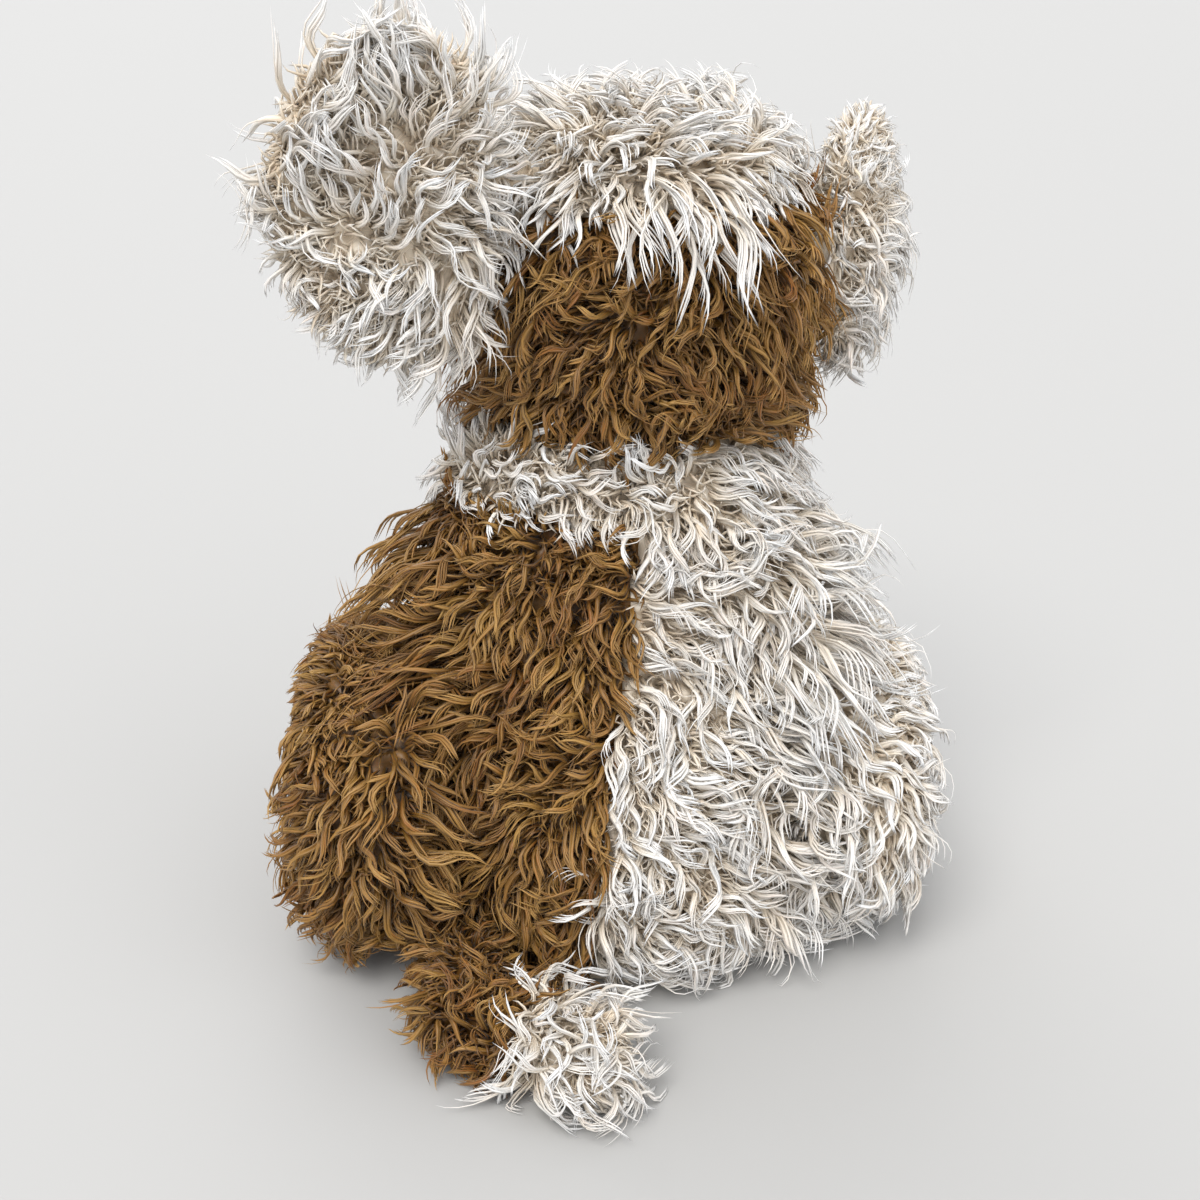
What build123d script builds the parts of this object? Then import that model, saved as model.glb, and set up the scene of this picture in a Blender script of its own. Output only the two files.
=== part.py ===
from build123d import *
import os

# A sitting plush puppy with disc joints at the neck, shoulders and hips, ears that swing on
# their sewn roots and a tail that swings on its own.  Millimetres, +Z up.  The origin is in
# the flat base that the toy sits on.  The puppy faces -Y, so its left side is +X.

os.makedirs("parts", exist_ok=True)

# ---- driving dimensions ---------------------------------------------------------------------
PILE = 9.0            # plush wall: woven backing with the standing part of its pile
FLAT_WALL = 3.0       # plush wall where two limbs press on each other and the pile lies flat
GAP = 0.3             # free space between two bodies that turn on each other

NECK_Z = 188.0        # top of the torso, where the head turns
NECK_Y = -12.0        # the neck axis stands this far in front of the origin
BASE_WALL = 4.0       # the flat base panel
YOKE_Z = 167.0        # seam between the shoulder yoke and the back panels
SIDE_SEAM_Y = -14.0   # seam between the back panels and the chest panel
CENTRE_SEAM = (-7.0, 0, YOKE_Z)           # top of the seam between the two back panels
CENTRE_SEAM_NORMAL = (157.0, 0, 17.0)     # it leans, so that it ends under the tail's side
NICHE_TOP = (-8.6, 116.0)                 # y and z of the front legs' niche, behind the shoulder
NICHE_FOOT_Y = -58.5                      # and at the foot of the chest
NICHE_FOOT_Z = 8.0

HIP_X = 62.0          # flat side of the torso, where a hind leg lies on it
HIP_Y = -2.0
HIP_Z = 58.0
HIP_CLEAR_Z = 127.5   # the torso is flat-sided up to here, so that the thighs can turn
FOOT_X = 86.0
FOOT_R = 19.5
FOOT_START = -25.0    # the foot runs forward from here to here, measured from the thigh's middle
FOOT_END = -90.0

SHOULDER_X = 26.0     # flat side of the chest, where a front leg lies on it
SHOULDER_Y = -30.0
SHOULDER_Z = 125.0
SHOULDER_R = 22.0
FRONT_LEG_T = 35.4    # width of a front leg across the body
PAW_Y = -78.0
PAW_Z = 17.0

HEAD_TURN = 20.0      # the head is turned towards the puppy's left
HEAD_X = -7.0         # middle of the skull, measured at the neck joint
HEAD_Y = -14.0
HEAD_Z = 238.0
SKULL_W = 52.0        # half width of the skull at its widest
SKULL_D = 51.0
CROWN_Z = 263.0       # seam between the crown and the panels below it
CROWN_LEAN = (0, -0.05, 1)
FACE_SEAM_Y = -6.0    # seam between the face panel and the back of the head

DISC_T = 3.0          # hardboard joint discs
NECK_DISC_R = 23.0
HIP_DISC_R = 19.0
SHOULDER_DISC_R = 11.0
WASHER_R = 5.0
WASHER_T = 0.8
PAD_T = 2.5           # felt paw pads
PIN_R = 1.6           # split pin of a disc joint
BORE_R = 1.65
COVER_BORE_R = 2.2    # the same pin's hole through the plush
EYE_R = 6.5
EYE_SINK = 3.0        # the dome's flat back lies this far behind its middle
STALK_R = 1.5
LOCK_WASHER_R = 6.0

BIG = 600.0


# ---- helpers ----------------------------------------------------------------------------------
def ellipsoid(centre, radii):
    ball = scale(Sphere(10), by=(radii[0] / 10, radii[1] / 10, radii[2] / 10))
    return Pos(*centre) * ball


def half_space(point, normal):
    """A big block with one face through the point, on the side that the normal points to."""
    place = Plane(origin=point, z_dir=normal).location
    return place * Pos(0, 0, BIG / 2) * Box(BIG, BIG, BIG)


def slab(low, high):
    """Everything between two heights."""
    return Pos(0, 0, (low + high) / 2) * Box(BIG, BIG, high - low)


def stack(sections):
    """A smooth form through elliptical sections: (height, centre x, centre y, half x, half y)."""
    rings = [Pos(x, y, z) * Ellipse(a, b) for z, x, y, a, b in sections]
    return loft(rings)


def inset(sections, wall, low, high):
    """The same sections, thinner by a wall all round and squeezed between two heights."""
    first = sections[0][0]
    last = sections[-1][0]
    fit = (high - low) / (last - first)
    return [(low + (z - first) * fit, x, y, a - wall, b - wall) for z, x, y, a, b in sections]


def along_x(radius, x_in, x_out, y, z, round_in, round_out):
    """A round cushion on an axis along X, from its inner face to its outer face."""
    width = x_out - x_in
    body = Cylinder(radius, width)
    body = fillet(body.edges().group_by(Axis.Z)[-1], round_out)
    body = fillet(body.edges().group_by(Axis.Z)[0], round_in)
    return Pos((x_in + x_out) / 2, y, z) * Rot(0, 90, 0) * body


def between(start, end, r_start, r_end):
    """A round tapered bar from one point to another."""
    run = Vector(*end) - Vector(*start)
    place = Plane(origin=start, z_dir=run).location
    if r_start == r_end:
        bar = Cylinder(r_start, run.length)
    else:
        bar = Cone(r_start, r_end, run.length)
    return place * Pos(0, 0, run.length / 2) * bar


def one_solid(shape):
    """The largest solid of a cut: crumbs at a seam are dropped."""
    return max(shape.solids(), key=lambda solid: solid.volume)


def mirrored(shape):
    return mirror(shape, about=Plane.YZ)


def as_is(shape):
    return shape


PLACE = {"left": as_is, "right": mirrored}


def save(name, shape):
    export_step(shape, f"parts/{name}.step")


# ---- disc joints ------------------------------------------------------------------------------
STACK = GAP / 2 + FLAT_WALL + DISC_T + WASHER_T     # from the joint plane to the washer's back
LOOP_R = 2.4
LOOP_WIRE = 0.9
LOOP_Z = STACK + 0.2 + LOOP_R + LOOP_WIRE
CURL_X = LOOP_R + 1.0


def ring_at(low, high, radius):
    ring = Cylinder(radius, high - low) - Cylinder(BORE_R, high - low + 2)
    return Pos(0, 0, (low + high) / 2) * ring


def split_pin():
    """A shaft with its eye on the limb's side and two curled legs on the torso's side."""
    shaft = Cylinder(PIN_R, 2 * (LOOP_Z - LOOP_R))
    eye = Pos(0, 0, LOOP_Z) * Rot(90, 0, 0) * Torus(LOOP_R, LOOP_WIRE)
    curls = [Pos(side * CURL_X, 0, -LOOP_Z) * Rot(90, 0, 0) * Torus(LOOP_R, LOOP_WIRE)
             for side in (-1, 1)]
    return shaft + eye + curls[0] + curls[1]


def disc_joint(point, normal, disc_r):
    """Every piece of one joint, and the room it needs.  The normal points into the limb."""
    place = Plane(origin=point, z_dir=normal).location
    face = GAP / 2 + FLAT_WALL
    disc = ring_at(face, face + DISC_T, disc_r)
    washer = ring_at(face + DISC_T, STACK, WASHER_R)
    room = Pos(0, 0, face + DISC_T / 2) * Cylinder(disc_r, DISC_T)
    room += Pos(0, 0, STACK - WASHER_T / 2) * Cylinder(WASHER_R, WASHER_T)
    loop_room = 2 * (LOOP_R + LOOP_WIRE) + 1
    limb_room = room + Pos(0, 0, STACK + loop_room / 2) * Cylinder(LOOP_R + 1.8, loop_room)
    body_room = room + Pos(0, 0, STACK + loop_room / 2) * Cylinder(CURL_X + LOOP_R + 1.5, loop_room)
    flip = Rot(180, 0, 0)
    return {
        "limb_disc": place * disc,
        "limb_washer": place * washer,
        "body_disc": place * flip * disc,
        "body_washer": place * flip * washer,
        "pin": place * split_pin(),
        "limb_room": place * limb_room,
        "body_room": place * flip * body_room,
        "bore": place * Cylinder(COVER_BORE_R, 2 * STACK),
    }


def side_point(side, x, y, z):
    return (side * x, y, z)


NECK = disc_joint((0, NECK_Y, NECK_Z + GAP / 2), (0, 0, 1), NECK_DISC_R)
SIDES = {"left": 1, "right": -1}
HIPS = {name: disc_joint(side_point(s, HIP_X + GAP / 2, HIP_Y, HIP_Z), (s, 0, 0), HIP_DISC_R)
        for name, s in SIDES.items()}
SHOULDERS = {name: disc_joint(side_point(s, SHOULDER_X + GAP / 2, SHOULDER_Y, SHOULDER_Z),
                              (s, 0, 0), SHOULDER_DISC_R)
             for name, s in SIDES.items()}


# ---- torso ------------------------------------------------------------------------------------
TORSO = [
    (0, 0, 4, 58, 50),
    (18, 0, 4, 70, 60),
    (50, 0, 2, 75, 66),
    (85, 0, -2, 74, 62),
    (120, 0, -6, 71, 54),
    (150, 0, -9, 63, 49),
    (174, 0, -11, 55, 45),
    (NECK_Z, 0, -12, 47, 40),
]


def leg_niche(wall):
    """The space that both front legs fill: it keeps clear of the torso by the wall."""
    back = wall + GAP + 0.2
    top = SHOULDER_Z + SHOULDER_R + back
    with BuildSketch(Plane.YZ) as side_view:
        with BuildLine():
            Polyline((-BIG / 2, top), (SHOULDER_Y, top),
                     (NICHE_TOP[0] + wall, NICHE_TOP[1] + wall / 2),
                     (NICHE_FOOT_Y + wall, NICHE_FOOT_Z), (NICHE_FOOT_Y + wall, -2),
                     (-BIG / 2, -2), close=True)
        make_face()
        with Locations((SHOULDER_Y, SHOULDER_Z)):
            Circle(SHOULDER_R + back)
    block = extrude(side_view.sketch, BIG, both=True)
    return block - Box(2 * (SHOULDER_X - wall * FLAT_WALL / PILE), BIG, BIG)


def torso_form(wall):
    """The torso's outer form, or its stuffing's form when a wall is taken off."""
    if wall:
        sections = inset(TORSO, wall, BASE_WALL, NECK_Z - FLAT_WALL)
        side = HIP_X - FLAT_WALL
    else:
        sections = TORSO
        side = HIP_X
    over_hips = slab(HIP_CLEAR_Z + (wall / 2), BIG)
    form = stack(sections) & (Box(2 * side, BIG, 2 * BIG) + over_hips)
    return form - leg_niche(wall)


def build_torso():
    outer = torso_form(0)
    inner = torso_form(PILE)
    shell = outer - inner - NECK["bore"]
    for joint in (*HIPS.values(), *SHOULDERS.values()):
        shell -= joint["bore"]
    back = half_space((0, SIDE_SEAM_Y, 0), (0, 1, 0))
    left = half_space(CENTRE_SEAM, CENTRE_SEAM_NORMAL)
    middle = slab(BASE_WALL, YOKE_Z)
    wrap = shell & middle
    behind = wrap & back
    save("base_panel", one_solid(outer & slab(0, BASE_WALL)))
    save("shoulder_yoke", one_solid(shell & slab(YOKE_Z, NECK_Z)))
    save("back_panel_left", one_solid(behind & left))
    save("back_panel_right", one_solid(behind - left))
    save("chest_panel", one_solid(wrap - back))
    stuffing = inner
    for joint in (NECK, *HIPS.values(), *SHOULDERS.values()):
        stuffing = stuffing - joint["body_room"] - joint["bore"]
    save("torso_stuffing", one_solid(stuffing))


def build_joint_hardware():
    joints = {"neck": NECK}
    joints.update({f"{name}_shoulder": joint for name, joint in SHOULDERS.items()})
    joints.update({f"{name}_hip": joint for name, joint in HIPS.items()})
    for name, joint in joints.items():
        save(f"{name}_body_disc", joint["body_disc"])
        save(f"{name}_limb_disc", joint["limb_disc"])
        save(f"{name}_limb_washer", joint["limb_washer"])
        save(f"{name}_pin", joint["pin"])
    save("body_washers", Compound([joint["body_washer"].solid() for joint in joints.values()]))


# ---- tail -------------------------------------------------------------------------------------
TAIL_ROOT = (50, 66, 16)      # the tail swings about an upright line through its root
TAIL_BEND = (51, 88, 16)
TAIL_TIP = (12, 107, 15)
TAIL_R = 15.0
TAIL_TIP_R = 14.5
TAIL_SEAM = (31, 103, 16)     # where the brown base meets the cream tip
TAIL_SEAM_NORMAL = (-35, 13, 0)


def tail_base_form(wall):
    radius = TAIL_R - wall
    bar = between(TAIL_ROOT, TAIL_BEND, radius, radius)
    return bar + Pos(*TAIL_ROOT) * Sphere(radius) + Pos(*TAIL_BEND) * Sphere(radius)


def tail_tip_form(wall):
    bar = between(TAIL_BEND, TAIL_TIP, TAIL_R - wall - 0.4, TAIL_TIP_R - wall)
    return bar + Pos(*TAIL_TIP) * Sphere(TAIL_TIP_R - wall)


def build_tail():
    seam = half_space(TAIL_SEAM, TAIL_SEAM_NORMAL)
    core = tail_base_form(PILE) + tail_tip_form(PILE)
    skin = tail_base_form(0) + tail_tip_form(0) - core
    save("tail_base_cover", one_solid(skin - seam))
    save("tail_tip_cover", one_solid(skin & seam))
    save("tail_stuffing", one_solid(core))


# ---- hind legs --------------------------------------------------------------------------------
# how each stuffed thigh sits about its joint: behind it, above it, its radius, its outer face
THIGHS = {"left": (12.0, -0.5, 57.0, 109.0), "right": (-4.0, -4.0, 53.5, 107.0)}


def hind_leg_form(name, wall):
    behind, above, radius, x_out = THIGHS[name]
    flat = FLAT_WALL if wall else 0
    y = HIP_Y + behind
    z = HIP_Z + above
    rounding = 8 if wall == 0 else 4
    thigh = along_x(radius - wall, HIP_X + GAP + flat, x_out - wall, y, z, rounding, 22 - wall)
    return thigh + foot_form(name, wall)


def foot_form(name, wall):
    y = HIP_Y + THIGHS[name][0]
    start = (FOOT_X, y + FOOT_START, FOOT_R + 0.4)
    end = (FOOT_X, y + FOOT_END, FOOT_R + 0.4)
    return between(start, end, FOOT_R - wall, FOOT_R - wall) + Pos(*end) * Sphere(FOOT_R - wall)


def build_hind_leg(name):
    joint = HIPS[name]
    place = PLACE[name]
    outer = place(hind_leg_form(name, 0))
    core = place(hind_leg_form(name, PILE))
    sole_y = HIP_Y + THIGHS[name][0] + FOOT_END - 6
    pad = (outer & half_space((0, sole_y, 0), (0, -1, 0))) - place(foot_form(name, PAD_T))
    cover = outer - core - pad - joint["bore"]
    stuffing = core - joint["limb_room"] - joint["bore"]
    save(f"{name}_hind_leg_cover", one_solid(cover))
    save(f"{name}_hind_leg_stuffing", one_solid(stuffing))
    save(f"{name}_hind_paw_pad", one_solid(pad))


# ---- front legs -------------------------------------------------------------------------------
def front_leg_form(wall):
    flat = FLAT_WALL if wall else 0
    x_in = SHOULDER_X + GAP + flat
    x_out = SHOULDER_X + GAP + FRONT_LEG_T - wall
    x = SHOULDER_X + GAP + FRONT_LEG_T / 2
    top = along_x(SHOULDER_R - wall, x_in, x_out, SHOULDER_Y, SHOULDER_Z,
                  4 if wall == 0 else 2, 12 - wall)
    shin = between((x, SHOULDER_Y, SHOULDER_Z), (x, PAW_Y, PAW_Z), 17.6 - wall, 15.5 - wall)
    paw = ellipsoid((x, PAW_Y - 6, PAW_Z), (17.4 - wall, 25 - wall, PAW_Z - wall))
    return top + shin + paw


def build_front_leg(name):
    joint = SHOULDERS[name]
    place = PLACE[name]
    outer = place(front_leg_form(0)) & slab(0, BIG)
    core = place(front_leg_form(PILE))
    pad_core = place(front_leg_form(PAD_T))
    pad = (outer & slab(-1, 5)) - pad_core
    cover = outer - core - pad - joint["bore"]
    stuffing = core - joint["limb_room"] - joint["bore"]
    save(f"{name}_front_leg_cover", one_solid(cover))
    save(f"{name}_front_leg_stuffing", one_solid(stuffing))
    save(f"{name}_front_paw_pad", one_solid(pad))


# ---- head -------------------------------------------------------------------------------------
SKULL = [
    (NECK_Z + GAP, 0, 0, 42, 40),
    (197, 0, 0, 49, 47),
    (214, 0, 0, SKULL_W, SKULL_D),
    (HEAD_Z, 0, 0, SKULL_W + 1, SKULL_D + 1),
    (259, 0, 0, 50, 49),
    (275, 0, 0, 42, 41),
    (284, 0, 0, 29, 28),
    (288, 0, 0, 12, 12),
]
MUZZLE = ((0, -52, 223), (27, 34, 22))      # middle and half sizes
NOSE = ((0, -84, 228), (9, 6, 6.5))
EYE_AT = (20.5, -46.5, HEAD_Z + 7)
STITCH = 1.4                                # width of a mouth stitch
STITCH_RISE = 0.7
HEAD_PLACE = Pos(HEAD_X, HEAD_Y, 0) * Rot(0, 0, HEAD_TURN)


def skull_form(wall):
    if wall:
        rings = [(z, x, y, a - wall, b - wall) for z, x, y, a, b in SKULL if a > 2 * wall]
        rings = inset(rings, 0, NECK_Z + GAP + FLAT_WALL, SKULL[-1][0] - wall)
        return stack(rings)
    return stack(SKULL)


def muzzle_form(extra):
    centre, radii = MUZZLE
    return ellipsoid(centre, [r + extra for r in radii])


def eye_parts(side):
    """A domed eye on a stalk, the washer that locks it inside, and the room the eye needs."""
    x = side * EYE_AT[0]
    y = EYE_AT[1]
    z = EYE_AT[2]
    back_y = y + EYE_SINK
    upright = Rot(90, 0, 0)
    dome = (Pos(x, y, z) * Sphere(EYE_R)) & half_space((0, back_y, 0), (0, -1, 0))
    stalk = Pos(x, back_y + 7, z) * upright * Cylinder(STALK_R, 18)
    washer = Pos(x, y + 18, z) * upright * (Cylinder(LOCK_WASHER_R, 1.2) - Cylinder(STALK_R, 3))
    pocket = Pos(x, back_y - 20, z) * upright * Cylinder(EYE_R + 0.1, 40)
    hole = Pos(x, y + 6, z) * upright * Cylinder(STALK_R + 0.1, 40)
    return {"eye": dome + stalk, "washer": washer, "pocket": pocket, "hole": hole}


def mouth_form():
    """A short stitch below the nose that parts into two curved ones."""
    skin = muzzle_form(STITCH_RISE) - muzzle_form(0)
    down = Pos(0, -80, 215) * Box(STITCH, 24, 12)
    arms = [Pos(side * 5.5, -78, 207.5) * Rot(0, side * 28, 0) * Box(12, 26, STITCH)
            for side in (-1, 1)]
    return skin & (down + arms[0] + arms[1])


def build_head():
    outer = skull_form(0)
    muzzle = muzzle_form(0)
    core = skull_form(PILE) + muzzle_form(-PILE)
    nose = ellipsoid(*NOSE) - muzzle
    eyes = {name: eye_parts(side) for name, side in SIDES.items()}
    shell = outer - core - HEAD_PLACE.inverse() * NECK["bore"]
    back = half_space((0, FACE_SEAM_Y, 0), (0, 1, 0))
    crown = half_space((0, 0, CROWN_Z), CROWN_LEAN)
    face = shell - back
    behind = shell & back
    stuffing = core - HEAD_PLACE.inverse() * (NECK["limb_room"] + NECK["bore"])
    for name, parts in eyes.items():
        face = face - parts["pocket"] - parts["hole"]
        stuffing = stuffing - parts["hole"] - parts["washer"]
        save(f"{name}_eye", HEAD_PLACE * parts["eye"])
    washers = [parts["washer"].solid() for parts in eyes.values()]
    save("face_panel", HEAD_PLACE * one_solid(face - crown))
    save("head_back_panel", HEAD_PLACE * one_solid(behind - crown))
    save("crown_panel", HEAD_PLACE * one_solid(shell & crown))
    save("muzzle_panel", HEAD_PLACE * one_solid(muzzle - outer - core))
    save("nose", HEAD_PLACE * one_solid(nose))
    save("mouth_stitches", HEAD_PLACE * one_solid(mouth_form() - nose))
    save("eye_washers", HEAD_PLACE * Compound(washers))
    save("head_stuffing", HEAD_PLACE * one_solid(stuffing))


# ---- ears -------------------------------------------------------------------------------------
EAR_ROOT_ANGLE = 22.0     # the ears are sewn on behind the skull's widest points
EAR_ROOT_R = SKULL_W + 8.5
EAR_ROOT_SHARE = 0.78     # the root cuts the ear's oval this share of its half length from its middle
EAR_TAPER = 50.0          # the ear narrows to its root at this angle on each side
EARS = {
    # side, height of the middle, half length, half thickness, half height, swing forward
    "left": (1, 268.0, 36.0, 8.0, 48.0, 12.0),
    "right": (-1, 241.0, 35.0, 11.0, 40.0, 47.0),
}
WEB_T = 3.0               # the cloth web that the ear is sewn to, and the rolled hem at its end
WEB_TALL = 24.0
WEB_DROP = 4.0
WEB_REACH = 45.0
HEM_R = 2.5


def ear_root(name):
    side = EARS[name][0]
    out = Pos(side * EAR_ROOT_R, 0, EARS[name][1])
    return HEAD_PLACE * Rot(0, 0, side * EAR_ROOT_ANGLE) * out


def build_ear(name):
    side, _, length, thick, tall, swing = EARS[name]
    flap = ellipsoid((side * EAR_ROOT_SHARE * length, 0, 0), (length, thick, tall))
    for face in (-1, 1):
        edge = Vector(side, 0, 0).rotate(Axis.Z, face * (90 - EAR_TAPER))
        flap = flap & half_space((0, 0, 0), edge)
    flap -= Cylinder(HEM_R + GAP, BIG)
    lining = half_space((0, 0, 0), (0, -1, 0))
    place = Pos(*ear_root(name).position) * Rot(0, 0, HEAD_TURN - side * swing)
    save(f"{name}_ear_outer", place * one_solid(flap - lining))
    save(f"{name}_ear_lining", place * one_solid(flap & lining))


def build_ear_web(name):
    """A short upright web of cloth from the head to the ear's root, with a rolled hem."""
    side = EARS[name][0]
    strip = Pos(-side * WEB_REACH / 2, 0, -WEB_DROP) * Box(WEB_REACH, WEB_T, WEB_TALL)
    hem = Pos(0, 0, -WEB_DROP) * Cylinder(HEM_R, WEB_TALL)
    web = ear_root(name) * (strip + hem) - HEAD_PLACE * skull_form(0)
    save(f"{name}_ear_web", one_solid(web))


# ---- everything -------------------------------------------------------------------------------
build_torso()
build_joint_hardware()
build_tail()
build_head()
for leg_side in SIDES:
    build_hind_leg(leg_side)
    build_front_leg(leg_side)
    build_ear(leg_side)
    build_ear_web(leg_side)
    ear_at = ear_root(leg_side).position
    print(f"{leg_side} ear root: {ear_at.X:.2f} {ear_at.Y:.2f} {ear_at.Z:.2f}")
print("tail root:", TAIL_ROOT)
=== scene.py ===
import math
from collections import namedtuple

import bpy
import numpy as np
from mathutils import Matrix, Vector
from mathutils.bvhtree import BVHTree


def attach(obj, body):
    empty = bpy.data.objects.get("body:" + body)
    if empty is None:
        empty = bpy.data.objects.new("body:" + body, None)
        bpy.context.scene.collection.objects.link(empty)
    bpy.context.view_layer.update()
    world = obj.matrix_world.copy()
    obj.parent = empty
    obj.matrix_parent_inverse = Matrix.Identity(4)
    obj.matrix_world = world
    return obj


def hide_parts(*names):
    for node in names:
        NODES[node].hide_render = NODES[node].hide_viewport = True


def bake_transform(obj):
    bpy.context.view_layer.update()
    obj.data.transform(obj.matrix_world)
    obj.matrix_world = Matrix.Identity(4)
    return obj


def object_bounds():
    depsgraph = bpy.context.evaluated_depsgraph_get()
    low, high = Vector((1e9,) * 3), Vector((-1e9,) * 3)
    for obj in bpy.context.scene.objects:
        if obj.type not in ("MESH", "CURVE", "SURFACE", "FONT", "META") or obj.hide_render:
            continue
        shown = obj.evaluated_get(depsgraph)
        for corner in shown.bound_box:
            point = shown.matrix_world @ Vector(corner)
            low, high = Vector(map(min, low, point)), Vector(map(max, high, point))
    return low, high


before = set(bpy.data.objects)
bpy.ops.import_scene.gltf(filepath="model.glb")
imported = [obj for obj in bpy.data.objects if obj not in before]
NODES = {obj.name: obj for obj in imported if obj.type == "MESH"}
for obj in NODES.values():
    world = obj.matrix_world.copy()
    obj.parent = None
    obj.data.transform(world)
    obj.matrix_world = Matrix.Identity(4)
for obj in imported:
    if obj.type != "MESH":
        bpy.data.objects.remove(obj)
low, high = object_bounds()
rng = np.random.default_rng(11)

# ---- dimensions, in millimetres; meshes are written in metres ----------------------------------
M = 0.001
DEEP = 4.5            # the woven backing lies this far below the CAD surface, which is mid-pile
EAR_DEEP = 3.0        # and this far in the thin ears
BACKING = 2.6         # thickness of the backing with its underwool
VOXEL = 2.6           # grain of the backing's mesh
OWNER_REACH = 3.5     # a patch of backing belongs to the nearest cover within this distance
PRESSED = 5.0         # nearer than this to another part, the pile is pressed flat
TOUCHING = 0.42       # surfaces nearer than this to another node are seams or joint faces
FLOOR = 0.35          # the lowest strands lie this high
FLOOR_HEAP = 2.2      # and others on the floor up to this much higher
ROOM_SHARE = 0.03     # the pile may pass the CAD box by this share of a side,
ROOM_MORE = 10.0      # and by this much more,
ROOM_SPARE = 2.2      # less this much kept in hand
ROOM = ROOM_SHARE * (np.array(high) - np.array(low)) + (ROOM_MORE - ROOM_SPARE) * M
BOX_LOW = (np.array(low) - ROOM) / M
BOX_HIGH = (np.array(high) + ROOM) / M


# ---- small vector helpers ----------------------------------------------------------------------
def unit(v):
    return v / np.maximum(np.linalg.norm(v, axis=-1, keepdims=True), 1e-9)


def dot(a, b):
    return np.sum(a * b, axis=-1, keepdims=True)


def tangent(v, n):
    return v - n * dot(v, n)


def in_strip(tone):
    return np.clip(tone, 0.03, 0.97)


def smooth(x, a, b):
    t = np.clip((x - a) / (b - a), 0, 1)
    return t * t * (3 - 2 * t)


class Waves:
    """Coherent noise of a chosen grain in millimetres: a sum of plane waves."""

    def __init__(self, grain, parts=9, channels=1):
        k = rng.normal(size=(channels, parts, 3))
        k = unit(k) * rng.uniform(0.6, 1.5, (channels, parts, 1)) * (2 * math.pi / grain)
        self.k = k
        self.phase = rng.uniform(0, 2 * math.pi, (channels, parts))
        self.gain = 1.3 / math.sqrt(parts)

    def __call__(self, p):
        found = [np.sin(p @ k.T + ph).sum(1) * self.gain for k, ph in zip(self.k, self.phase)]
        return found[0] if len(found) == 1 else np.stack(found, 1)


swirl = Waves(38, channels=3)     # broad turns in the lay of the pile
crimp = Waves(60)                 # neighbouring locks wave together
eddy = Waves(13, channels=3)      # small turns in the lay
patchy = Waves(26)                # lighter and darker areas
mottle = Waves(8)                 # and spots
lumps = Waves(11)                 # the stuffing felt through the cloth
fine_lumps = Waves(5)


# ---- reading the CAD ---------------------------------------------------------------------------
def triangles_of(mesh):
    mesh.calc_loop_triangles()
    co = np.empty(len(mesh.vertices) * 3, np.float32)
    mesh.vertices.foreach_get("co", co)
    tri = np.empty(len(mesh.loop_triangles) * 3, np.int32)
    mesh.loop_triangles.foreach_get("vertices", tri)
    return co.reshape(-1, 3).astype(float) / M, tri.reshape(-1, 3)


CAD = {name: triangles_of(ob.data) for name, ob in NODES.items()}
ORDER = sorted(CAD)
all_co, all_tri, all_owner = [], [], []
count = 0
for index, name in enumerate(ORDER):
    co, tri = CAD[name]
    all_co.append(co)
    all_tri.append(tri + count)
    all_owner.append(np.full(len(tri), index))
    count += len(co)
OWNER = np.concatenate(all_owner)
WORLD = BVHTree.FromPolygons(np.concatenate(all_co).tolist(), np.concatenate(all_tri).tolist())


def touching(points, own, reach):
    """Which points lie against a node other than their own."""
    met = np.zeros(len(points), bool)
    for i, p in enumerate(points):
        for _, _, face, _ in WORLD.find_nearest_range(Vector(p), reach):
            if OWNER[face] != own:
                met[i] = True
                break
    return met


def free_space(points, normals, far=60.0, start=0.6):
    """How far each point sees along its normal, from a small start, before another surface."""
    free = np.full(len(points), far)
    for i, (p, n) in enumerate(zip(points, normals)):
        found = WORLD.ray_cast(Vector(p + n * start), Vector(n), far)
        if found[0] is not None:
            free[i] = found[3]
    return free


def roots_on(name, per_mm2):
    """Seeded random points on the outward side of one cover, with normals and free space."""
    co, tri = CAD[name]
    a, b, c = co[tri[:, 0]], co[tri[:, 1]], co[tri[:, 2]]
    cross = np.cross(b - a, c - a)
    area = np.linalg.norm(cross, axis=1) / 2
    total = int(area.sum() * per_mm2)
    pick = rng.choice(len(tri), total, p=area / area.sum())
    u, v = rng.random((2, total, 1))
    flip = (u + v) > 1
    u, v = np.where(flip, 1 - u, u), np.where(flip, 1 - v, v)
    p = a[pick] + (b[pick] - a[pick]) * u + (c[pick] - a[pick]) * v
    n = unit(cross[pick])
    keep = ~touching(p, ORDER.index(name), TOUCHING)
    p, n = p[keep], n[keep]
    free = free_space(p, n)
    keep = free > PRESSED
    return p[keep], n[keep], free[keep]


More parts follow.
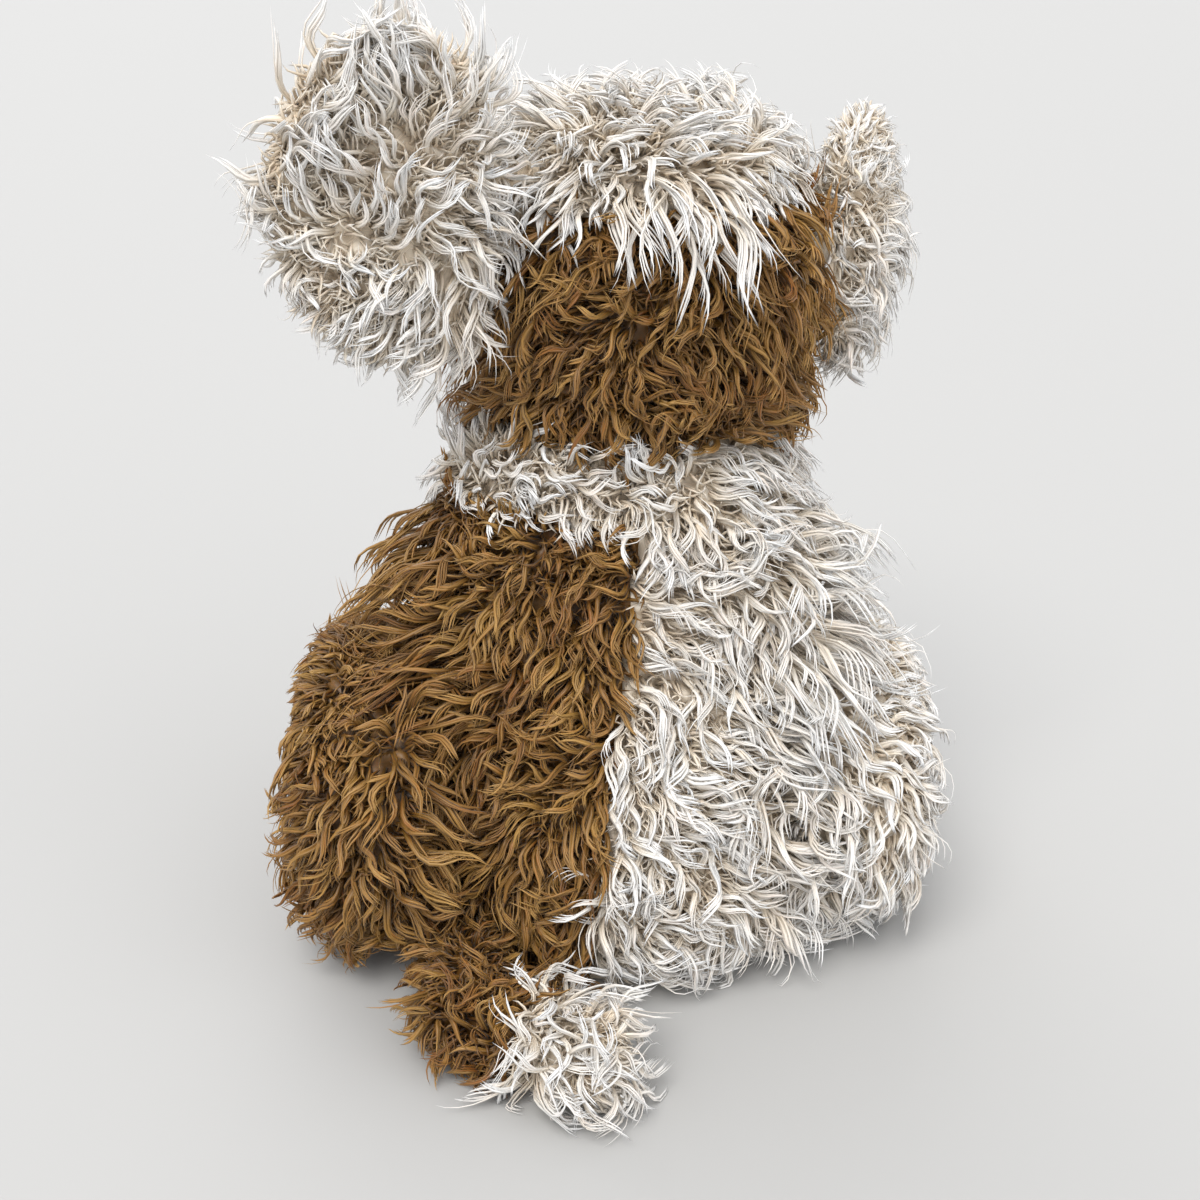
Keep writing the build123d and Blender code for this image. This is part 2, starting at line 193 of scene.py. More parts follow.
# ---- writing meshes ----------------------------------------------------------------------------
def write_mesh(name, verts, faces, uv=None):
    """faces: a list of (F, corners) index arrays; uv: every vertex's place in the strip."""
    mesh = bpy.data.meshes.new(name)
    sizes = np.concatenate([np.full(len(f), f.shape[1]) for f in faces])
    loops = np.concatenate([f.ravel() for f in faces]).astype(np.int32)
    starts = np.concatenate([[0], np.cumsum(sizes)[:-1]]).astype(np.int32)
    mesh.vertices.add(len(verts))
    mesh.vertices.foreach_set("co", (verts * M).astype(np.float32).ravel())
    mesh.loops.add(len(loops))
    mesh.loops.foreach_set("vertex_index", loops)
    mesh.polygons.add(len(sizes))
    mesh.polygons.foreach_set("loop_start", starts)
    mesh.polygons.foreach_set("use_smooth", np.ones(len(sizes), bool))
    if uv is not None:
        layer = mesh.uv_layers.new(name="OFBake")
        layer.data.foreach_set("uv", uv[loops].astype(np.float32).ravel())
    mesh.update(calc_edges=True)
    mesh.validate()
    ob = bpy.data.objects.new(name, mesh)
    bpy.context.scene.collection.objects.link(ob)
    return ob


def remeshed(names, voxel):
    """One watertight skin round the named CAD nodes: vertices, quads and normals."""
    parts = [CAD[n] for n in names]
    offset = np.cumsum([0] + [len(co) for co, _ in parts])
    co = np.concatenate([co for co, _ in parts])
    tri = np.concatenate([t + o for (_, t), o in zip(parts, offset)])
    ob = write_mesh("scratch", co, [tri])
    mod = ob.modifiers.new("skin", "REMESH")
    mod.mode = "VOXEL"
    mod.voxel_size = voxel * M
    depsgraph = bpy.context.evaluated_depsgraph_get()
    mesh = bpy.data.meshes.new_from_object(ob.evaluated_get(depsgraph))
    v = np.empty(len(mesh.vertices) * 3, np.float32)
    n = np.empty(len(mesh.vertices) * 3, np.float32)
    mesh.vertices.foreach_get("co", v)
    mesh.vertices.foreach_get("normal", n)
    q = np.empty(len(mesh.loops), np.int32)
    mesh.loops.foreach_get("vertex_index", q)
    q = q.reshape(-1, 4)
    scratch = ob.data
    bpy.data.objects.remove(ob)
    bpy.data.meshes.remove(scratch)
    bpy.data.meshes.remove(mesh)
    return v.reshape(-1, 3).astype(float) / M, q, n.reshape(-1, 3).astype(float)


def edges_of(quads):
    return np.concatenate([quads[:, [k, (k + 1) % 4]] for k in range(4)])


def relax(values, pairs, rounds):
    """Averages a value over neighbouring vertices."""
    count = np.bincount(pairs.ravel(), minlength=len(values)).astype(float)
    for _ in range(rounds):
        total = np.zeros_like(values)
        for a, b in ((0, 1), (1, 0)):
            np.add.at(total, pairs[:, a], values[pairs[:, b]])
        shape = (-1,) + (1,) * (values.ndim - 1)
        values = 0.5 * values + 0.5 * total / np.maximum(count, 1).reshape(shape)
    return values


# ---- materials ---------------------------------------------------------------------------------
def srgb(r, g, b):
    def lin(c):
        c /= 255
        return c / 12.92 if c <= 0.04045 else ((c + 0.055) / 1.055) ** 2.4
    return (lin(r), lin(g), lin(b), 1)


def new_material(name, **values):
    mat = bpy.data.materials.new(name)
    mat.use_nodes = True
    shader = mat.node_tree.nodes["Principled BSDF"]
    for key, value in values.items():
        shader.inputs[key.replace("_", " ")].default_value = value
    return mat, mat.node_tree.nodes, mat.node_tree.links, shader


def ramp(nodes, links, source, stops):
    node = nodes.new("ShaderNodeValToRGB")
    band = node.color_ramp
    while len(band.elements) < len(stops):
        band.elements.new(0.5)
    for element, (at, colour) in zip(band.elements, stops):
        element.position = at
        element.color = colour
    links.new(source, node.inputs[0])
    return node.outputs[0]


def mix(nodes, links, factor, a, b, how="MIX"):
    node = nodes.new("ShaderNodeMix")
    node.data_type = "RGBA"
    node.blend_type = how
    for value, socket in ((factor, node.inputs[0]), (a, node.inputs[6]), (b, node.inputs[7])):
        if isinstance(value, bpy.types.NodeSocket):
            links.new(value, socket)
        else:
            socket.default_value = value
    return node.outputs[2]


TONE_STREAKS = 90.0     # streaks across the strip, which make the fibres differ
LENGTH_STREAKS = 2.2    # and along it, from root to tip
TINT_SHARE = 0.35
GREY_DARK, GREY_MID, GREY_LIGHT = 0.68, 0.94, 1.12


def grey(value):
    return (value, value, value, 1)


def pile_material(name, dark, light, tint, roughness, sheen):
    """Colour by the strip: across is the lock's tone, along is root to tip. The darker roots are
    partly the wool's own colour and partly painted shade deep in the pile; the palest tips are
    partly painted highlight.
    """
    mat, nodes, links, shader = new_material(name, Roughness=roughness)
    shader.inputs["Sheen Weight"].default_value = sheen
    shader.inputs["Sheen Roughness"].default_value = 0.4
    shader.inputs["Specular IOR Level"].default_value = 0.45
    strip = nodes.new("ShaderNodeUVMap")
    strip.uv_map = "OFBake"
    parts = nodes.new("ShaderNodeSeparateXYZ")
    links.new(strip.outputs[0], parts.inputs[0])
    tone, along = parts.outputs[0], parts.outputs[1]
    stretch = nodes.new("ShaderNodeCombineXYZ")
    for k, (source, gain) in enumerate(((tone, TONE_STREAKS), (along, LENGTH_STREAKS))):
        times = nodes.new("ShaderNodeMath")
        times.operation = "MULTIPLY"
        times.inputs[1].default_value = gain
        links.new(source, times.inputs[0])
        links.new(times.outputs[0], stretch.inputs[k])
    streak = nodes.new("ShaderNodeTexNoise")
    streak.inputs["Scale"].default_value = 1.0
    streak.inputs["Detail"].default_value = 3.0
    links.new(stretch.outputs[0], streak.inputs[0])
    colour = mix(nodes, links, tone, ramp(nodes, links, along, dark),
                 ramp(nodes, links, along, light))
    speck = ramp(nodes, links, streak.outputs[0],
                 [(0.30, grey(GREY_DARK)), (0.50, grey(GREY_MID)), (0.72, grey(GREY_LIGHT))])
    colour = mix(nodes, links, 1.0, colour, speck, "MULTIPLY")
    tinted = ramp(nodes, links, streak.outputs[0], [(0.56, grey(0)), (0.66, grey(1))])
    colour = mix(nodes, links, tinted, colour, mix(nodes, links, TINT_SHARE, colour, tint))
    links.new(colour, shader.inputs["Base Color"])
    return mat


# The root ends of these ramps are darker partly as the wool's own colour and partly as painted
# shade; the near-white tip ends are partly painted highlight.
BROWN = pile_material(
    "brown_pile",
    dark=[(0.0, srgb(70, 42, 8)), (0.30, srgb(94, 60, 16)),
          (0.60, srgb(118, 76, 24)), (1.0, srgb(130, 80, 26))],
    light=[(0.0, srgb(92, 62, 18)), (0.30, srgb(122, 88, 34)),
           (0.60, srgb(166, 126, 62)), (1.0, srgb(196, 156, 92))],
    tint=srgb(144, 66, 12), roughness=0.44, sheen=0.08)
CREAM = pile_material(
    "cream_pile",
    dark=[(0.0, srgb(206, 184, 154)), (0.30, srgb(220, 202, 176)),
          (0.60, srgb(232, 222, 208)), (1.0, srgb(238, 234, 228))],
    light=[(0.0, srgb(224, 206, 180)), (0.30, srgb(238, 226, 206)),
           (0.60, srgb(247, 245, 241)), (1.0, srgb(250, 252, 254))],
    tint=srgb(244, 218, 206), roughness=0.38, sheen=0.22)
PILE_OF = {"brown": BROWN, "cream": CREAM}


# ---- the lay of the pile -----------------------------------------------------------------------
UP = np.array([0.0, 0.0, 1.0])
X = np.array([1.0, 0.0, 0.0])
Y = np.array([0.0, 1.0, 0.0])


def centre_of(*names):
    co = np.concatenate([CAD[n][0] for n in names])
    return (co.min(0) + co.max(0)) / 2


NOSE = centre_of("nose")
LEFT_EAR = centre_of("left_ear_outer", "left_ear_lining")
RIGHT_EAR = centre_of("right_ear_outer", "right_ear_lining")
TAIL_END = centre_of("tail_tip_cover")
HEAD_MID = centre_of("head_back_panel", "face_panel")


# Where the lay changes, each as (from, to) in millimetres
LEFT_RIM_Z = (150, 168)          # the brown panel's top rim, where the pile turns upwards
LEFT_CREASE_X = (44, 58)         # towards the crease between the back and the left thigh
YOKE_TOP_Z = (170, 182)          # the yoke's pile turns up to the neck
YOKE_RIGHT_X = (10, 45)          # and to the side on the right
FOOT_Y = (45, 65)                # in front of this the hind leg is a foot
THIGH_CREASE_X = (68, 84)
EAR_MIDDLE = 10                  # the parting of the left ear lies this far in from its middle
LEFT_EAR_SPREAD = (2, 34)
RIGHT_EAR_SOURCE = (20, 0, 14)   # the right ear's pile streams from here, measured from its middle
CROWN_RIM = 277                  # below this the back of the crown hangs over the brown panel
BLAZE_X = (-33, 1)               # and here a long white forelock hangs furthest


def down(p, n):
    return -UP + 0.75 * swirl(p) + 0.35 * eddy(p)


def down_left(p, n):
    rim = smooth(p[:, 2:3], *LEFT_RIM_Z)
    crease = smooth(p[:, 0:1], *LEFT_CREASE_X)
    return (-UP * (1 - 1.9 * rim) + X * (0.3 + 0.3 * rim + 0.9 * crease)
            + 0.6 * swirl(p) + 0.35 * eddy(p))


def down_right(p, n):
    return -0.75 * UP - 0.75 * X + 0.75 * swirl(p) + 0.35 * eddy(p)


def yoke_lay(p, n):
    rise = smooth(p[:, 2:3], *YOKE_TOP_Z)
    to_right = smooth(-p[:, 0:1], *YOKE_RIGHT_X)
    return UP * (1.7 * rise - 0.8) - X * (0.3 + 0.7 * to_right) + 0.7 * swirl(p) + 0.3 * eddy(p)


def from_left_ear(p, n):
    away = p - (LEFT_EAR - EAR_MIDDLE * X)
    spread = smooth(np.linalg.norm(away, axis=1, keepdims=True), *LEFT_EAR_SPREAD)
    turned = np.cross(unit(away), Y)
    return spread * unit(away) + 0.45 * turned - 0.25 * UP + 0.7 * swirl(p) + 0.55 * eddy(p)


def from_right_ear(p, n):
    out = unit(p - (RIGHT_EAR + RIGHT_EAR_SOURCE))
    return 0.8 * out - 0.35 * UP + 0.5 * swirl(p) + 0.45 * eddy(p)


def crown_parts(p, n):
    """How far each root belongs to the hanging rim, and to the forelock in it."""
    rim = (n[:, 1:2] > 0.25) & (p[:, 2:3] < CROWN_RIM)
    blaze = rim & (p[:, 0:1] > BLAZE_X[0]) & (p[:, 0:1] < BLAZE_X[1])
    return rim, blaze


def crown_lay(p, n):
    out = unit((p - HEAD_MID) * np.array([1, 1, 0.3]))
    top = 0.5 * out - 0.55 * UP + 0.6 * swirl(p) + 0.4 * eddy(p)
    rim, blaze = crown_parts(p, n)
    lay = np.where(rim, -1.4 * UP + 0.4 * swirl(p), top)
    return np.where(blaze, -2.6 * UP + 0.3 * eddy(p), lay)


def tail_lay(p, n):
    return -0.5 * UP - 0.3 * X + 0.7 * swirl(p) + 0.5 * eddy(p)


def tip_lay(p, n):
    return unit(p - TAIL_END - 12 * X) + 0.5 * swirl(p) + 0.7 * eddy(p)


def from_nose(p, n):
    return unit(p - NOSE) - 0.5 * UP + 0.3 * eddy(p)


def thigh_lay(side):
    """Down the haunch, over the crease on to the back, and forward along the foot."""
    def lay(p, n):
        foot = smooth(-p[:, 1:2], *FOOT_Y)
        crease = 1 - smooth(np.abs(p[:, 0:1]), *THIGH_CREASE_X)
        over = -side * X * 1.3 * crease
        thigh = -UP + 0.3 * X if side > 0 else -0.75 * UP - 0.7 * X
        thigh = thigh + over
        return (1 - foot) * thigh + foot * (-0.8 * Y - 0.4 * UP) + 0.7 * swirl(p) + 0.35 * eddy(p)
    return lay


# length and spacing of the locks in millimetres, tufts of underwool and fibres for each lock
Pile = namedtuple("Pile", "body colour lay length upright wave spacing wool fibres")
FUR = {
    "back_panel_left": Pile("torso", "brown", down_left, 23, 0.95, 1.05, 4.9, 4.5, 5),
    "back_panel_right": Pile("torso", "cream", down_right, 25, 0.85, 1.20, 4.9, 4.5, 5),
    "shoulder_yoke": Pile("torso", "cream", yoke_lay, 24, 0.95, 1.15, 4.6, 4.5, 5),
    "chest_panel": Pile("torso", "cream", down, 23, 0.85, 1.00, 6.0, 5.0, 4),
    "head_back_panel": Pile("head", "brown", down, 20, 0.85, 1.25, 4.7, 5.0, 5),
    "crown_panel": Pile("head", "cream", crown_lay, 24, 1.10, 1.10, 4.5, 5.0, 5),
    "face_panel": Pile("head", "cream", from_nose, 16, 0.70, 0.80, 5.2, 4.0, 4),
    "muzzle_panel": Pile("head", "cream", from_nose, 11, 0.60, 0.55, 4.2, 4.0, 4),
    "left_ear_web": Pile("head", "cream", down, 20, 0.90, 0.90, 4.6, 3.0, 4),
    "right_ear_web": Pile("head", "cream", down, 18, 0.90, 0.90, 4.6, 3.0, 4),
    "left_ear_outer": Pile("left_ear", "cream", from_left_ear, 26, 0.85, 1.05, 4.4, 6.5, 5),
    "left_ear_lining": Pile("left_ear", "cream", from_left_ear, 23, 0.80, 0.95, 5.6, 5.0, 4),
    "right_ear_outer": Pile("right_ear", "cream", from_right_ear, 22, 0.85, 1.30, 4.4, 6.0, 5),
    "right_ear_lining": Pile("right_ear", "cream", from_right_ear, 21, 0.80, 1.00, 5.6, 5.0, 4),
    "tail_base_cover": Pile("tail", "brown", tail_lay, 20, 0.75, 1.10, 4.6, 4.5, 5),
    "tail_tip_cover": Pile("tail", "cream", tip_lay, 30, 0.75, 1.35, 4.4, 5.0, 5),
    "left_hind_leg_cover": Pile("left_hind_leg", "brown",
                                thigh_lay(1), 23, 0.85, 1.05, 5.6, 4.0, 5),
    "right_hind_leg_cover": Pile("right_hind_leg", "cream",
                                 thigh_lay(-1), 24, 0.85, 1.2, 5.6, 4.0, 5),
    "left_front_leg_cover": Pile("left_front_leg", "cream", down, 19, 0.80, 0.95, 6.0, 4.5, 4),
    "right_front_leg_cover": Pile("right_front_leg", "cream", down, 19, 0.80, 0.95, 6.0, 4.5, 4),
}
LOCK_RINGS = 8            # points along a lock
WOOL_RINGS = 4
LOCK_BENDS = (0.75, 1.35)     # waves in a lock's length
WOOL_BENDS = (0.6, 1.4)
USUAL_SPACING = 4.8       # fibre widths are given for locks this far apart
STANDS = 1.35             # a lock stands up at its root
LIES = 0.12               # and lies down at its tip
COMMON_PHASE = 9.0        # how far neighbouring locks wave together
PUSH_REACH = 14.0         # deeper than this inside a cover a lock is left alone
BOX_SOFT = 5.0            # the pile starts to bend back this far inside its room
EYES = [centre_of("left_eye"), centre_of("right_eye")]


def from_eyes(p):
    return np.min([np.linalg.norm(p - e, axis=1) for e in EYES], axis=0)


def pushed_out(p, least):
    """Keeps lock points outside the CAD covers."""
    out = p.copy()
    for i, q in enumerate(p):
        found = WORLD.find_nearest(Vector(q), PUSH_REACH)
        if found[0] is None:
            continue
        at, normal = np.array(found[0]), np.array(found[1])
        height = float((q - at) @ normal)
        if height < least:
            out[i] = at + normal * least
    return out


def in_the_box(p):
    """Bends what would leave the part's room back into it."""
    for k in range(3):
        inner = BOX_HIGH[k] - BOX_SOFT
        over = p[..., k] - inner
        bent = BOX_HIGH[k] - BOX_SOFT * np.exp(-np.maximum(over, 0) / BOX_SOFT)
        p[..., k] = np.where(over > 0, bent, p[..., k])
        if k < 2:
            under = BOX_LOW[k] + BOX_SOFT - p[..., k]
            bent = BOX_LOW[k] + BOX_SOFT * np.exp(-np.maximum(under, 0) / BOX_SOFT)
            p[..., k] = np.where(under > 0, bent, p[..., k])
    return p


def grow(p, n, flow, length, upright, wave, rings, turns, stray):
    """The middle line of every lock, from its root under the surface to its tip."""
    count = len(p)
    flow = unit(tangent(flow, n) + 0.02)
    side = np.cross(n, flow)
    phase = COMMON_PHASE * crimp(p)[:, None] + stray * rng.uniform(-math.pi, math.pi, (count, 1))
    other = rng.uniform(0, 2 * math.pi, (count, 1))
    bends = rng.uniform(*turns, (count, 1))
    amp = wave * rng.uniform(0.6, 1.15, (count, 1))
    lift = upright * rng.uniform(0.6, 1.45, (count, 1))
    q = p - n * DEEP
    path = [q]
    for k in range(rings):
        t = (k + 0.5) / rings
        bend = 2 * math.pi * bends * t
        heading = (n * (lift * (STANDS * (1 - t) ** 1.4 + LIES)) + flow * (0.25 + 1.25 * t)
                   + side * amp * np.sin(phase + bend) * (0.5 + 0.9 * t)
                   + n * amp * 0.5 * np.sin(other + bend))
        q = q + unit(heading) * length / rings
        if k > rings // 4:
            q = pushed_out(q, 0.7 + 1.2 * t)
        path.append(q)
    path = np.stack(path, 1)
    for _ in range(2):
        path[:, 1:-1] = 0.5 * path[:, 1:-1] + 0.25 * (path[:, :-2] + path[:, 2:])
    return path


# Where the locks are longer, shorter or more upright, each as (from, to) in millimetres
BACK_LOW_Z = (112, 128)          # the back meets the thighs below this
BACK_CREASE_X = (40, 56)
WAIST_X = (46, 62)
WAIST_RISE_Z = (98, 112)
WAIST_FALL_Z = (146, 160)
LEFT_TOP_Z = (148, 160)          # shorter pile along the brown panel's top seam
YOKE_SEAM_Z = (164, 178)         # and along the yoke's lower seam,
YOKE_SEAM_X = (-12, 0)           # left of the middle
HEAD_SIDE_X = (28, 46)           # the head's sides, measured from its middle
LEG_CREASE_X = (68, 82)
LEG_TOP_Z = (82, 104)
EAR_UNDER_Z = (-6, 24)           # the lower inner edge of the left ear, measured from its middle
EAR_UNDER_X = (-14, 12)
EAR_PARTING = (6, 30)            # the locks round its parting stand up
EAR_TOP_Z = (6, 28)              # the right ear's upper edge, measured from its middle
ROUND_THE_EYE = (10, 32)


def local_lay(name, p, n):
    """How much longer, more upright and wavier the locks are here and there on a cover."""
    x, z = np.abs(p[:, 0:1]), p[:, 2:3]
    gain, lift, crimped = np.ones_like(x), np.ones_like(x), np.ones_like(x)
    if name.startswith("back_panel"):
        crease = smooth(x, *BACK_CREASE_X) * (1 - smooth(z, *BACK_LOW_Z))
        waist = smooth(x, *WAIST_X) * smooth(z, *WAIST_RISE_Z) * (1 - smooth(z, *WAIST_FALL_Z))
        gain += 0.55 * crease + 0.80 * waist
        lift += 0.9 * crease + 0.5 * waist
    if name == "back_panel_left":
        gain -= 0.40 * smooth(z, *LEFT_TOP_Z)
    if name == "shoulder_yoke":
        gain -= 0.40 * (1 - smooth(z, *YOKE_SEAM_Z)) * smooth(p[:, 0:1], *YOKE_SEAM_X)
    if name == "head_back_panel":
        side = smooth(np.abs(p[:, 0:1] - HEAD_MID[0]), *HEAD_SIDE_X)
        gain += 0.35 * side
        lift += 0.5 * side
    if name.endswith("hind_leg_cover"):
        crease = 1 - smooth(x, *LEG_CREASE_X)
        top = smooth(z, *LEG_TOP_Z) * (1 - crease)
        gain += 0.35 * crease - 0.45 * top
        lift += 0.3 * crease - 0.35 * top
    if name.startswith("left_ear"):
        under = smooth(LEFT_EAR[2] - z, *EAR_UNDER_Z)
        under *= smooth(p[:, 0:1] - LEFT_EAR[0], *EAR_UNDER_X)
        away = np.linalg.norm(p - LEFT_EAR + EAR_MIDDLE * X, axis=1, keepdims=True)
        gain -= 0.5 * under
        lift += 0.8 * (1 - smooth(away, *EAR_PARTING))
    if name.startswith("right_ear"):
        gain -= 0.45 * smooth(z - RIGHT_EAR[2], *EAR_TOP_Z)
    if name == "crown_panel":
        rim, blaze = crown_parts(p, n)
        gain += 0.85 * blaze - 0.35 * rim * (p[:, 0:1] < BLAZE_X[0])
        lift -= 0.2 * rim + 0.3 * blaze
        crimped -= 0.4 * blaze
    if name == "face_panel":
        gain -= 0.65 * (1 - smooth(from_eyes(p)[:, None], *ROUND_THE_EYE))
    return gain, lift, crimped


def settled(path):
    """Keeps strands in the part's room and lays them on the floor."""
    path = in_the_box(path)
    floor = FLOOR + rng.uniform(0, FLOOR_HEAP, (len(path), 1))
    path[..., 2] = np.maximum(path[..., 2], floor)
    return path


LOOSE_SHARE = 0.18            # fibres that leave their lock
LOOSE_RADIUS = (0.20, 0.32)
LOCK_RADIUS = (0.42, 0.78)
WOOL_RADIUS = (0.45, 0.8)
WOOL_LENGTH = (9, 15)
FULL_LENGTH_ROOM = 26         # locks reach their full length where they see this far
HIDDEN_SHARE = 0.8            # of the locks in front and underneath
BARE_EYE = 9.5                # no pile nearer than this to an eye
BARE_NOSE = 9.0


def locks_of(name, g, gn, gfree):
    """Silky locks: a few fibres bundled round one wavy middle line."""
    pile = FUR[name]
    gain, lift, crimped = local_lay(name, g, gn)
    size = gain * pile.length * rng.uniform(0.72, 1.2, (len(g), 1))
    size = size * (0.5 + 0.5 * smooth(gfree[:, None], PRESSED, FULL_LENGTH_ROOM))
    guides = grow(g, gn, pile.lay(g, gn), size, pile.upright * lift, pile.wave * crimped,
                  LOCK_RINGS, LOCK_BENDS, 0.28)
    mine = np.repeat(np.arange(len(g)), pile.fibres)
    count = len(mine)
    scale = pile.spacing / USUAL_SPACING
    t = np.linspace(0, 1, LOCK_RINGS + 1)[None, :, None]
    spread = unit(rng.normal(size=(count, 3))) * rng.uniform(0.3, 1.7, (count, 1)) * scale
    spread = tangent(spread, gn[mine])[:, None, :]
    loose = rng.random((count, 1, 1)) < LOOSE_SHARE

    def either(if_loose, if_not):
        shape = loose.shape
        return np.where(loose, rng.uniform(*if_loose, shape), rng.uniform(*if_not, shape))

    gather = either((-1.2, 0.2), (0.55, 0.95))
    reach = either((0.85, 1.2), (0.75, 1.04))
    bundle = guides[mine]
    path = bundle[:, :1] + (bundle - bundle[:, :1]) * reach + spread * (1 - gather * t ** 0.8)
    a = unit(rng.normal(size=(count, 1, 3)))
    ph = rng.uniform(0, 2 * math.pi, (count, 1, 1))
    path = path + a * np.sin(ph + t * rng.uniform(3, 8, ph.shape)) * t * np.where(loose, 1.4, 0.35)
    radius = np.where(loose[:, 0], rng.uniform(*LOOSE_RADIUS, (count, 1)),
                      rng.uniform(*LOCK_RADIUS, (count, 1)) * scale)
    own = rng.normal(size=len(g)) * 0.17
    tone = 0.56 + 0.15 * patchy(g)[mine] + own[mine] + 0.08 * rng.normal(size=count)
    return tubes(settled(path), radius, in_strip(tone), 0.12, 0.98)


def wool_of(name, p, n):
    """The short crimped underwool that fills the space between the locks."""
    pile = FUR[name]
    small = 0.7 if name in ("muzzle_panel", "face_panel") else 1.0
    size = small * rng.uniform(*WOOL_LENGTH, (len(p), 1))
    flow = 0.6 * pile.lay(p, n) + 0.9 * unit(rng.normal(size=p.shape))
    path = grow(p, n, flow, size, 0.75, 1.9, WOOL_RINGS, WOOL_BENDS, 1.0)
    radius = rng.uniform(*WOOL_RADIUS, (len(p), 1)) * pile.spacing / USUAL_SPACING
    tone = 0.5 + 0.18 * patchy(p) + 0.10 * mottle(p) + 0.14 * rng.normal(size=len(p))
    # The underwool takes the darker lower half of the ramps: partly its own colour, partly painted
    # shade between the locks.
    return tubes(settled(path), radius, in_strip(tone), 0.02, 0.52)


def strands_of(name):
    """The locks and the underwool of one cover: one lock in each cell, wool on the other roots."""
    cell = FUR[name].spacing
    p, n, free = roots_on(name, (FUR[name].wool + 1.5) / cell ** 2)
    if name in ("face_panel", "muzzle_panel"):
        keep = (from_eyes(p) > BARE_EYE) & (np.linalg.norm(p - NOSE, axis=1) > BARE_NOSE)
        p, n, free = p[keep], n[keep], free[keep]
    cells = np.floor((p + rng.uniform(0, cell, 3)) / cell).astype(int)
    _, first = np.unique(cells, axis=0, return_index=True)
    hidden = (n[first, 1] < -0.25) | (n[first, 2] < -0.5)
    first = first[~hidden | (rng.random(len(first)) < HIDDEN_SHARE)]
    rest = np.setdiff1d(np.arange(len(p)), first)
    return [locks_of(name, p[first], n[first], free[first]), wool_of(name, p[rest], n[rest])]


TUBE_PROFILE = ([0, 0.25, 0.6, 0.85, 1], [0.75, 1.0, 0.85, 0.5, 0.0])    # root to tip, radius
TONE_WIDTH = 0.016            # a fibre's width in the strip


def tubes(path, radius, tone, v_root, v_tip):
    """Closed three-sided tapered tubes with a pointed tip, and their place in the strip."""
    count, points, _ = path.shape
    d = unit(np.gradient(path, axis=1))
    ref = unit(np.cross(unit(path[:, -1] - path[:, 0]), rng.normal(size=(count, 3))))[:, None]
    a = unit(np.cross(d, ref))
    b = np.cross(d, a)
    t = np.linspace(0, 1, points)
    profile = np.interp(t, *TUBE_PROFILE)
    turn = np.array([0, 2, 4]) * math.pi / 3
    r = (radius * profile[None])[:, :-1, None, None]
    ring = path[:, :-1, None] + r * (a[:, :-1, None] * np.cos(turn)[:, None]
                                     + b[:, :-1, None] * np.sin(turn)[:, None])
    verts = np.concatenate([ring.reshape(count, -1, 3), path[:, -1:]], 1)
    u = tone[:, None, None] + np.array([-1, 0, 1]) * TONE_WIDTH
    along = v_root + (v_tip - v_root) * t[:-1]
    v = np.broadcast_to(along[None, :, None], (count, points - 1, 3))
    uv = np.stack([np.broadcast_to(u, v.shape), v], -1).reshape(count, -1, 2)
    tip = np.stack([tone, np.full(count, v_tip)], -1)[:, None]
    uv = np.concatenate([uv, tip], 1)
    per = verts.shape[1]
    quads, last = [], 3 * (points - 2)
    for k in range(points - 2):
        for j in range(3):
            here, there = 3 * k + j, 3 * k + (j + 1) % 3
            quads.append((here, there, there + 3, here + 3))
    tris = [(0, 2, 1)] + [(last + j, last + (j + 1) % 3, per - 1) for j in range(3)]
    step = (np.arange(count) * per)[:, None, None]
    quads = (np.array(quads)[None] + step).reshape(-1, 4)
    tris = (np.array(tris)[None] + step).reshape(-1, 3)
    return verts.reshape(-1, 3), quads, tris, uv.reshape(-1, 2)


# ---- the woven backing of each body, cut into one patch per cover ------------------------------
BODY_COVERS = {}
for name, pile in FUR.items():
    BODY_COVERS.setdefault(pile.body, []).append(name)
BODY_COVERS["torso"].append("base_panel")
FILLING = {"torso": "torso_stuffing", "head": "head_stuffing", "tail": "tail_stuffing",
           "left_hind_leg": "left_hind_leg_stuffing", "right_hind_leg": "right_hind_leg_stuffing",
           "left_front_leg": "left_front_leg_stuffing",
           "right_front_leg": "right_front_leg_stuffing"}
PADS = {"left_front_leg": "left_front_paw_pad", "right_front_leg": "right_front_paw_pad",
        "left_hind_leg": "left_hind_paw_pad", "right_hind_leg": "right_hind_paw_pad"}


